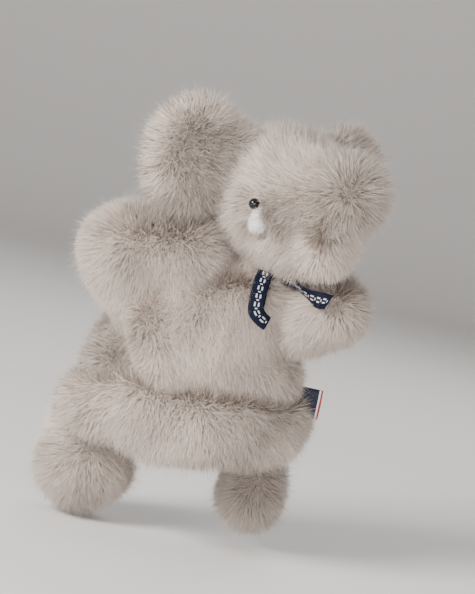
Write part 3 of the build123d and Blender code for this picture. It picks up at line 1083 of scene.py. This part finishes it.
def tape(name, spine, across, width, thick, material):
    """A strip of tape along a line of points, with a UV in metres along and shares across."""
    count = len(spine)
    columns = 5
    rows = []
    for number in range(count):
        before = spine[max(number - 1, 0)]
        after = spine[min(number + 1, count - 1)]
        along = (after - before).normalized()
        side = across[number]
        side = (side - along * side.dot(along)).normalized()
        face = along.cross(side)
        front = []
        back = []
        for column in range(columns):
            share = column / (columns - 1) - 0.5
            curl = face * (0.5 * MM * math.cos(share * math.pi))
            point = spine[number] + side * (share * width) + curl
            front.append(point + face * (thick / 2))
            back.append(point - face * (thick / 2))
        rows.append(front + list(reversed(back)))
    piece = grid_mesh(name, rows, material, cap_low=True, cap_high=True)
    lengths = [0.0]
    for a, b in zip(spine, spine[1:]):
        lengths.append(lengths[-1] + (b - a).length)
    layer = piece.data.uv_layers.new(name="OFBake")
    per = columns * 2
    for loop in piece.data.loops:
        row, column = divmod(loop.vertex_index, per)
        share = column if column < columns else per - 1 - column
        layer.data[loop.index].uv = (share / (columns - 1), lengths[row])
    refine = piece.modifiers.new("fine", "SUBSURF")
    refine.levels = 1
    refine.subdivision_type = "SIMPLE"
    apply_modifiers(piece)
    smooth_shaded(piece)
    return piece, lengths[-1]


def smooth_line(points, steps=8):
    """A rounded line through given points."""
    line = []
    ends = [points[0] * 2 - points[1]] + points + [points[-1] * 2 - points[-2]]
    for a, b, c, d in zip(ends, ends[1:], ends[2:], ends[3:]):
        for step in range(steps):
            t = step / steps
            line.append(0.5 * ((b * 2) + (c - a) * t + (a * 2 - b * 5 + c * 4 - d) * t * t
                               + (b * 3 - a - c * 3 + d) * t ** 3))
    line.append(points[-1])
    return line


# The hanging tail's course from its root: sideways, back and up, in mm. Its end is kinked
HANGING_COURSE = [
    (0, 0, 2), (-1.2, -6.0, -6), (-1.5, -10.5, -15),
    (-1.0, -12.5, -22), (3.0, -13.0, -26.0), (7.5, -12.0, -28.5),
]
# The side tail's course: share of the way, and how far it bellies forward and sags there, in mm
SIDE_COURSE = [(0.0, 0.0, -1.5), (0.25, 1.0, -1.0), (0.5, 1.0, 1.5), (0.75, -1.0, 2.0), (1.0, 0.0, 0.0)]


def make_ribbon():
    root = joint_point("ribbon_hanging_lift")
    line = smooth_line([root + Vector(step) * MM for step in HANGING_COURSE])
    across = []
    for number in range(len(line)):
        share = number / (len(line) - 1)
        kink = max(0.0, share - 0.62) / 0.38
        twist = math.radians(14 + 38 * kink)
        across.append(Vector((math.cos(twist), math.sin(twist) * 0.7, 0.35 * kink)))
    piece, reach = tape("ribbon_hanging_tail", line, across, RIBBON_WIDTH, RIBBON_THICK, RIBBON)
    finish_piece(piece, "tail_hanging", ("ribbon_tail_hanging",))

    side_low, side_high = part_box("ribbon_tail_side")
    start = joint_point("ribbon_side_lift")
    end = Vector((side_high.x - 3.0 * MM, side_low.y, side_low.z + RIBBON_WIDTH * 0.55))
    ahead = Vector((0, -1, 0))
    line = smooth_line([start.lerp(end, share) + ahead * (belly * MM) - UP * (sag * MM)
                        for share, belly, sag in SIDE_COURSE])
    across = []
    for number in range(len(line)):
        share = number / (len(line) - 1)
        twist = math.radians(5 + 62 * math.sin(share * math.pi * 1.3))
        across.append(Vector((0, -math.sin(twist), math.cos(twist))))
    piece, reach = tape("ribbon_side_tail", line, across, RIBBON_WIDTH, RIBBON_THICK, RIBBON)
    finish_piece(piece, "tail_side", ("ribbon_tail_side",))

    low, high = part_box("ribbon_loop")
    radius = (high.x - low.x) / 2
    level = (low.z + high.z) / 2
    line = []
    across = []
    for step in range(73):
        angle = 2 * math.pi * step / 72
        wave = 0.4 * MM * math.sin(angle * 6)
        line.append(Vector((NECK.x + (radius + wave) * math.cos(angle),
                            NECK.y + (radius + wave) * math.sin(angle), level)))
        across.append(UP)
    piece, reach = tape("ribbon_band", line, across, RIBBON_WIDTH, RIBBON_THICK, RIBBON)
    finish_piece(piece, "glove", ("ribbon_loop",))

    low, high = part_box("ribbon_knot")
    core = (low + high) / 2
    half = (high - low) / 2
    loop_off = Vector((half.x * 0.45, 0, 0))
    loop_size = (half.x * 0.5, half.y * 0.7, half.z * 0.85)
    balls = [
        (core, (half.x * 0.62, half.y * 0.8, half.z * 0.72), 0.0),
        (core + loop_off, loop_size, 0.3),
        (core - loop_off, loop_size, -0.3),
    ]
    knot = melted("ribbon_knot_folds", balls, KNOT_TAPE, 3, 0.7 * MM)

    def folds(points, outward):
        return outward * 0.35 * MM * np.sin((points[:, :1] + points[:, 2:] * 0.6) / MM * 1.9)

    sculpt(knot, folds)
    finish_piece(knot, "glove", ("ribbon_knot",))


def make_label():
    """A tape folded in two, with both ends caught in the side seam."""
    low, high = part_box("side_label")
    level = (low.z + high.z) / 2
    seam_y = (low.y + high.y) / 2
    gape = 0.5 * MM
    points = []
    for x, y in ((low.x, -0.3), (low.x * 0.5 + high.x * 0.5, -1.2), (high.x - gape, -0.7)):
        points.append(Vector((x, seam_y + y * gape, level)))
    points.append(Vector((high.x, seam_y, level)))
    for point in list(reversed(points[:-1])):
        points.append(Vector((point.x, 2 * seam_y - point.y, level)))
    line = smooth_line(points, 6)
    width = high.z - low.z
    piece, reach = tape("side_label_tape", line, [UP] * len(line), width, 0.22 * MM, label_material(points))
    finish_piece(piece, "glove", ("side_label",))


def label_material(points):
    """Navy tape with a white band and a red one at the fold."""
    reach = sum((b - a).length for a, b in zip(points, points[1:]))
    material, tree, shader = new_material("label_tape", 0.6, 0.3)
    links = tree.links
    along = uv_axes(tree)[1]
    whole = tree.nodes.new("ShaderNodeMath")
    whole.operation = "DIVIDE"
    whole.inputs[1].default_value = reach
    links.new(along, whole.inputs[0])
    navy, white, red = (0.005, 0.007, 0.022), (0.66, 0.66, 0.67), (0.26, 0.015, 0.025)
    ramp = ramp_node(tree, [(0.0, navy), (0.45, white), (0.478, red), (0.522, white), (0.55, navy)])
    ramp.color_ramp.interpolation = "CONSTANT"
    links.new(whole.outputs["Value"], ramp.inputs["Fac"])
    links.new(ramp.outputs["Color"], shader.inputs["Base Color"])
    return material


def make_linings():
    for node in ("finger_sleeve", "head_pocket", "arm_right_pocket", "arm_left_pocket"):
        paint(node, LINING)


# ---- Stage ----

CAMERA_ROLL = math.radians(12.0)
CAMERA_RISE = math.radians(5.0)
CAMERA_AWAY = 1.3
FRAME_HEIGHT = 0.380             # what the picture's height takes in at the puppet
PICTURE_MIDDLE = Vector((0.0170, 0.0, 0.0971))
SENSOR = 36.0


def make_camera():
    data = bpy.data.cameras.new("camera")
    data.sensor_fit = "VERTICAL"
    data.sensor_height = SENSOR
    data.lens = SENSOR * CAMERA_AWAY / FRAME_HEIGHT
    camera = bpy.data.objects.new("camera", data)
    bpy.context.scene.collection.objects.link(camera)
    back = Vector((0, -math.cos(CAMERA_RISE), math.sin(CAMERA_RISE)))
    right = Vector((1, 0, 0))
    top = back.cross(right)
    turned_right = right * math.cos(CAMERA_ROLL) + top * math.sin(CAMERA_ROLL)
    turned_top = top * math.cos(CAMERA_ROLL) - right * math.sin(CAMERA_ROLL)
    place = Matrix((turned_right, turned_top, back)).transposed().to_4x4()
    place.translation = PICTURE_MIDDLE + back * CAMERA_AWAY
    camera.matrix_world = place
    bpy.context.scene.camera = camera


def soft_light(name, place, target, power, size, colour=(1, 1, 1)):
    data = bpy.data.lights.new(name, "AREA")
    data.energy = power
    data.size = size
    data.color = colour
    light = bpy.data.objects.new(name, data)
    light.location = place
    light.rotation_euler = (target - Vector(place)).to_track_quat("-Z", "Y").to_euler()
    bpy.context.scene.collection.objects.link(light)


def make_stage():
    floor_z = cad_box[0][2] - 0.006
    flat_to = 2.2                # behind the puppet, past where a camera looks from
    sweep_radius = 0.9
    profile = [(-3.5, 0.0), (flat_to, 0.0)]
    for step in range(1, 13):
        angle = math.pi / 2 * step / 12
        profile.append((flat_to + sweep_radius * math.sin(angle), sweep_radius * (1 - math.cos(angle))))
    profile.append((flat_to + sweep_radius, 4.0))
    rows = []
    for y, z in profile:
        rows.append([Vector((-4.0, y, floor_z + z)), Vector((4.0, y, floor_z + z))])
    material, _, shader = new_material("studio_paper", 0.9)
    shader.inputs["Base Color"].default_value = (0.76, 0.74, 0.72, 1.0)
    floor = grid_mesh("studio_floor", rows, material, close_round=False)
    smooth_shaded(floor)

    target = Vector((0.01, 0, 0.09))
    soft_light("key", (-1.15, -1.15, 0.85), target, 66.0, 0.7, (1.0, 0.975, 0.945))
    soft_light("fill", (1.2, -1.0, 0.45), target, 9.0, 1.2, (1.0, 0.985, 0.98))
    soft_light("low", (0.1, -1.4, -0.02), Vector((0.0, 0.0, 0.02)), 24.0, 0.8, (1.0, 0.985, 0.98))
    soft_light("back", (0.3, 1.1, 1.1), target, 10.0, 0.9)
    world = bpy.data.worlds.new("studio")
    bpy.context.scene.world = world
    world.use_nodes = True
    background = world.node_tree.nodes["Background"]
    background.inputs["Color"].default_value = (1.0, 0.985, 0.98, 1.0)
    background.inputs["Strength"].default_value = 0.30


make_camera()
make_stage()
make_glove()
make_cuff()
make_head()
make_trunk()
for side, seed in (("right", 71), ("left", 73)):
    make_ear(side, seed)
make_eyes()
for side, seed in (("right", 75), ("left", 77)):
    make_tusk(side, seed)
for side, seed in (("right", 81), ("left", 83)):
    make_arm(side, seed)
for side, seed in (("right", 91), ("left", 93)):
    make_foot(side, seed)
make_ribbon()
make_label()
make_linings()
